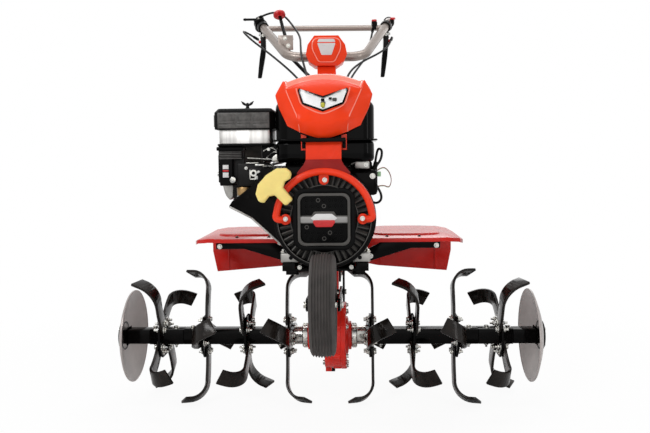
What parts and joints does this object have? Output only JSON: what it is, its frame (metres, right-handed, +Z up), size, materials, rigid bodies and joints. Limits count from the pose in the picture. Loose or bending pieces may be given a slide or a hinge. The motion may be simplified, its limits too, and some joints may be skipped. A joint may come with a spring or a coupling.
{
  "type": "garden tiller",
  "caption": "Petrol garden tiller with a full-width tine rotor, swinging front transport wheel, fenders, depth stake and a swivelling two-handed handlebar",
  "frame": {"origin": "on the floor under the centre of the bounding box", "axes": "+Z up, -Y front of the machine, +X its left side"},
  "size_m": [1.13, 1.4346, 1.1717],
  "materials": {
    "alloy": "as cast",
    "black_paint": "gloss black paint",
    "black_plastic": "satin moulded",
    "bright": "bright plated",
    "cable_black": "satin",
    "cast_red": "gloss paint",
    "disc_paint": "satin paint",
    "grip_rubber": "matte",
    "handle_paint": "metallic paint",
    "hood_red": "gloss moulded",
    "lamp_clear": "clear lens",
    "pull_yellow": "satin moulded",
    "sheet_red": "gloss paint",
    "tank_black": "gloss",
    "tyre_rubber": "matte",
    "zinc": "zinc plated"
  },
  "bodies": {
    "chassis": {"air_cleaner_bowl": "bright", "air_cleaner_lid": "black_plastic", "axle_ring_nuts": "zinc", "base_frame": "black_paint", "cable_tails": "cable_black", "carburettor": "alloy", "cylinder_head": "alloy", "engine_block": "alloy", "fan_housing": "black_plastic", "fender_left": "sheet_red", "fender_right": "sheet_red", "fender_strut_left": "black_paint", "fender_strut_right": "black_paint", "final_drive_case": "cast_red", "final_drive_cover": "cast_red", "fork_pivot_bolt": "zinc", "front_guard": "sheet_red", "fuel_cap": "black_plastic", "fuel_tank": "tank_black", "headlight": "lamp_clear", "hitch_bracket": "black_paint", "hood": "hood_red", "intake_box": "black_plastic", "lamp_wiring": "cable_black", "muffler": "black_paint", "recoil_starter": "black_plastic", "stake_clamp": "zinc", "starter_cover": "black_plastic", "starter_handle": "pull_yellow", "tank_bracket": "black_plastic", "transmission_case": "cast_red"},
    "tine_rotor": {"guard_disc_left": "disc_paint", "guard_disc_right": "disc_paint", "inner_rotor_left": "black_paint", "inner_rotor_right": "black_paint", "outer_rotor_left": "black_paint", "outer_rotor_right": "black_paint", "rotor_shaft": "zinc", "tines_left_inner": "black_paint", "tines_left_outer": "black_paint", "tines_right_inner": "black_paint", "tines_right_outer": "black_paint"},
    "wheel_arm": {"wheel_bolt": "zinc", "wheel_fork": "black_paint"},
    "front_wheel": {"front_wheel_rim": "black_plastic", "front_wheel_tyre": "tyre_rubber"},
    "stake": {"depth_stake": "black_paint"},
    "handle_swivel": {"handle_bolt": "zinc", "handle_post": "black_paint"},
    "handle_frame": {"clutch_levers": "black_plastic", "control_cables": "cable_black", "handle_console": "hood_red", "handle_grips": "grip_rubber", "handle_stem": "hood_red", "handlebar": "handle_paint", "lever_clamps": "alloy", "shift_knob": "sheet_red", "shift_lever": "black_paint", "stop_switch": "black_plastic", "throttle_lever": "black_plastic"}
  },
  "joints": [
    {"name": "tine_rotor_spin", "type": "hinge", "parent": "chassis", "child": "tine_rotor", "pos_m": [0, -0.208, 0.174], "axis": [1, 0, 0], "continuous": true},
    {"name": "wheel_arm_swing", "type": "hinge", "parent": "chassis", "child": "wheel_arm", "pos_m": [0, -0.348, 0.318], "axis": [1, 0, 0], "range_deg": [0, 56]},
    {"name": "front_wheel_spin", "type": "hinge", "parent": "wheel_arm", "child": "front_wheel", "pos_m": [0, -0.608, 0.337], "axis": [1, 0, 0], "continuous": true},
    {"name": "depth_stake_slide", "type": "slide", "parent": "chassis", "child": "stake", "axis": [0, 0, 1], "range_m": [0, 0.15]},
    {"name": "handlebar_swivel", "type": "hinge", "parent": "chassis", "child": "handle_swivel", "pos_m": [0, -0.098, 0.56], "axis": [0, 0, 1], "range_deg": [-33, 27], "deforming": ["cable_tails"]},
    {"name": "handlebar_height", "type": "hinge", "parent": "handle_swivel", "child": "handle_frame", "pos_m": [0, -0.098, 0.64], "axis": [0.9986, 0.0523, 0], "range_deg": [-12, 15], "deforming": ["cable_tails"]}
  ]
}
